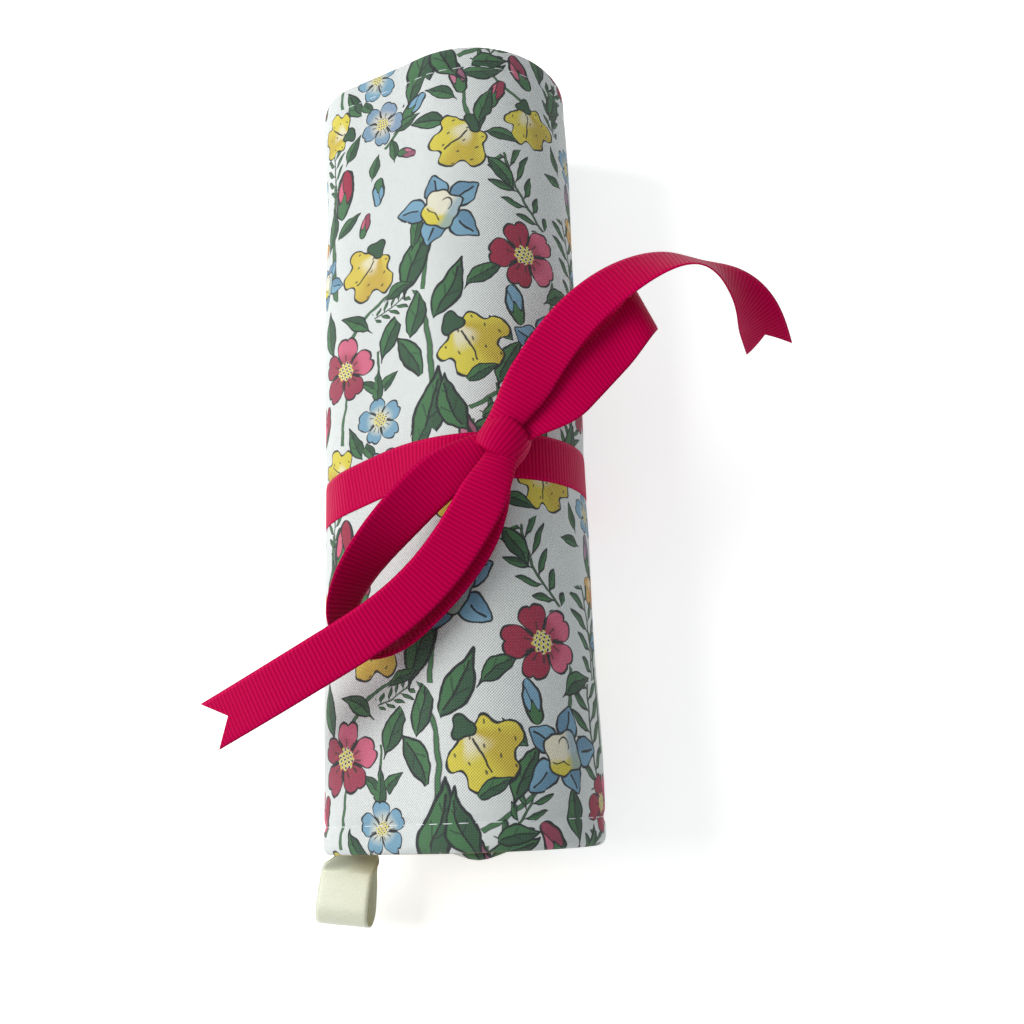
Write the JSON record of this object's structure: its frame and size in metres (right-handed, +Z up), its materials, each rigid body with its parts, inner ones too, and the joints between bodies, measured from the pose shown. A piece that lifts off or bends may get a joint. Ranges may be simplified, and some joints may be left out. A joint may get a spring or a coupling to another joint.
{
  "type": "rolled sewing case",
  "caption": "Padded fabric sewing roll with a floral cover, wound round a stuffed pincushion, tied with a grosgrain ribbon bow and fitted with a satin hanging loop.",
  "frame": {"origin": "middle of the flat run of the cover that the roll lies on", "axes": "+Y along the roll towards its head end, +Z up from the surface it lies on, +X to the right seen from the foot end, where the satin loop is"},
  "size_m": [0.1517, 0.2303, 0.0733],
  "materials": {
    "printed_cotton": "plain-weave cotton printed with a small floral",
    "lining_cotton": "plain-weave cotton",
    "wadding": "soft matt fibre",
    "felt": "matt felt",
    "thread": "spun sewing thread",
    "grosgrain": "ribbed ribbon with a soft sheen",
    "satin": "satin sheen"
  },
  "bodies": {
    "roll": {"cover_panel": "printed_cotton", "wadding_layer": "wadding", "lining_panel": "lining_cotton", "pocket_panel": "lining_cotton", "pocket_divider_stitching": "thread", "needle_leaf": "felt", "needle_leaf_stitching": "thread", "pincushion_case": "lining_cotton", "pincushion_filling": "wadding", "pincushion_tacks": "thread", "edge_stitching_head": "thread", "edge_stitching_foot": "thread", "flap_edge_stitching": "thread", "ribbon_band": "grosgrain", "ribbon_band_tacks": "thread", "ribbon_knot": "grosgrain", "hanging_loop_ends": "satin"},
    "bow_loop_upper": {"bow_loop_upper": "grosgrain"},
    "bow_loop_lower": {"bow_loop_lower": "grosgrain"},
    "ribbon_tail_upper": {"ribbon_tail_upper": "grosgrain"},
    "ribbon_tail_lower": {"ribbon_tail_lower": "grosgrain"},
    "hanging_loop": {"hanging_loop": "satin"}
  },
  "joints": [
    {"name": "upper_tail_lift", "type": "hinge", "parent": "roll", "child": "ribbon_tail_upper", "pos_m": [0.02, -0.0055, 0.0622], "axis": [0.8, -0.6, 0], "range_deg": [0, 35]},
    {"name": "lower_tail_lift", "type": "hinge", "parent": "roll", "child": "ribbon_tail_lower", "pos_m": [0.016, -0.0165, 0.0622], "axis": [-0.866, 0.5, 0], "range_deg": [0, 30]},
    {"name": "upper_loop_swivel", "type": "hinge", "parent": "roll", "child": "bow_loop_upper", "pos_m": [0.018, -0.011, 0.0588], "axis": [0, 0, 1], "range_deg": [-18, 4]},
    {"name": "lower_loop_swivel", "type": "hinge", "parent": "roll", "child": "bow_loop_lower", "pos_m": [0.018, -0.011, 0.0588], "axis": [0, 0, 1], "range_deg": [-8, 6]},
    {"name": "hanging_loop_flex", "type": "hinge", "parent": "roll", "child": "hanging_loop", "pos_m": [-0.02584, -0.1063, 0.01188], "axis": [-0.9848, 0, -0.1736], "range_deg": [-12, 45]}
  ]
}
